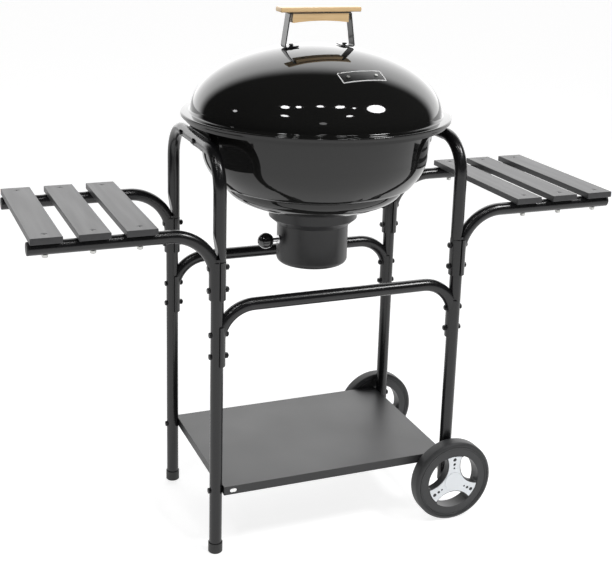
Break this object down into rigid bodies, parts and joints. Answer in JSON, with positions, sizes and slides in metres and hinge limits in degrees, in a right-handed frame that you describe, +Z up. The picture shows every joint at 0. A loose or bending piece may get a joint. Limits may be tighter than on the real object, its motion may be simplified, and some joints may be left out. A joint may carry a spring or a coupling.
{
  "type": "kettle charcoal grill",
  "caption": "Kettle charcoal grill on a wheeled tubular trolley with slatted side tables, a lift-off lid and a removable ash pot.",
  "frame": {"origin": "centre of the whole footprint, at floor level", "axes": "+X from the left table to the right table, where the wheels are; +Y from the cook's side to the back; +Z up"},
  "size_m": [1.206, 0.5406, 1.0568],
  "materials": {
    "frame_paint": "semi-gloss black powder coat",
    "enamel": "glossy black vitreous enamel",
    "shelf_paint": "satin dark grey powder coat",
    "black_steel": "satin black",
    "board_plastic": "lightly textured dark grey",
    "foot_plastic": "matt black",
    "wheel_plastic": "moulded dark grey",
    "tyre_plastic": "matt, lightly worn",
    "silver_plastic": "silver lacquered",
    "zinc_steel": "zinc plated",
    "black_bolt": "black oxide",
    "chrome_steel": "polished chrome",
    "grate_steel": "plated wire",
    "spring_steel": "bare spring steel",
    "strap_steel": "satin stainless",
    "handle_wood": "clear lacquered light wood",
    "knob_plastic": "polished black",
    "plate_aluminium": "satin, with a blank black field"
  },
  "bodies": {
    "trolley": {"arm_end_plugs": "foot_plastic", "axle": "zinc_steel", "axle_push_nuts": "zinc_steel", "axle_washers": "zinc_steel", "back_cross_tube": "frame_paint", "back_left_arm": "frame_paint", "back_left_leg": "frame_paint", "back_right_arm": "frame_paint", "back_right_leg": "frame_paint", "board_nuts": "zinc_steel", "board_screws": "zinc_steel", "bowl": "enamel", "bowl_bolts": "black_bolt", "bowl_spacers": "black_steel", "bracket_bolts": "black_bolt", "bracket_nuts": "black_bolt", "collar": "black_steel", "collar_screws": "zinc_steel", "foot_caps": "foot_plastic", "frame_bolts": "black_bolt", "frame_nuts": "black_bolt", "front_cross_tube": "frame_paint", "front_left_arm": "frame_paint", "front_left_leg": "frame_paint", "front_right_arm": "frame_paint", "front_right_leg": "frame_paint", "grate_rests": "black_steel", "left_arch": "frame_paint", "left_bowl_bracket": "black_steel", "left_inner_board": "board_plastic", "left_middle_board": "board_plastic", "left_outer_board": "board_plastic", "pot_clips": "spring_steel", "right_arch": "frame_paint", "right_bowl_bracket": "black_steel", "right_inner_board": "board_plastic", "right_middle_board": "board_plastic", "right_outer_board": "board_plastic", "shelf": "shelf_paint"},
    "lid_body": {"lid": "enamel", "handle_strap": "strap_steel", "handle_board": "handle_wood", "handle_block": "handle_wood", "handle_screws": "zinc_steel", "nameplate": "plate_aluminium", "lid_rivets": "zinc_steel"},
    "vent": {"vent_damper": "black_steel"},
    "pot": {"ash_pot": "black_steel", "knob_washer": "chrome_steel", "knob_bolt": "chrome_steel", "pot_knob": "knob_plastic"},
    "front_roller": {"front_tyre": "tyre_plastic", "front_wheel": "wheel_plastic", "front_wheel_cover": "silver_plastic"},
    "back_roller": {"back_tyre": "tyre_plastic", "back_wheel": "wheel_plastic", "back_wheel_cover": "silver_plastic"},
    "upper_grate": {"cooking_grate": "grate_steel"},
    "lower_grate": {"charcoal_grate": "grate_steel"}
  },
  "joints": [
    {"name": "lid_lift", "type": "slide", "parent": "trolley", "child": "lid_body", "axis": [0, 0, 1], "range_m": [0, 0.35]},
    {"name": "vent_turn", "type": "hinge", "parent": "lid_body", "child": "vent", "pos_m": [0, 0.15, 0.95584], "axis": [0, 0.3649, 0.931], "range_deg": [0, 60]},
    {"name": "pot_drop", "type": "slide", "parent": "trolley", "child": "pot", "axis": [0, 0, -1], "range_m": [0, 0.15]},
    {"name": "front_wheel_spin", "type": "hinge", "parent": "trolley", "child": "front_roller", "pos_m": [0.254, -0.1885, 0.087], "axis": [0, 1, 0], "continuous": true},
    {"name": "back_wheel_spin", "type": "hinge", "parent": "trolley", "child": "back_roller", "pos_m": [0.254, 0.1885, 0.087], "axis": [0, 1, 0], "continuous": true},
    {"name": "cooking_grate_lift", "type": "slide", "parent": "trolley", "child": "upper_grate", "axis": [0, 0, 1], "range_m": [0, 0.035]},
    {"name": "charcoal_grate_lift", "type": "slide", "parent": "trolley", "child": "lower_grate", "axis": [0, 0, 1], "range_m": [0, 0.08]}
  ]
}
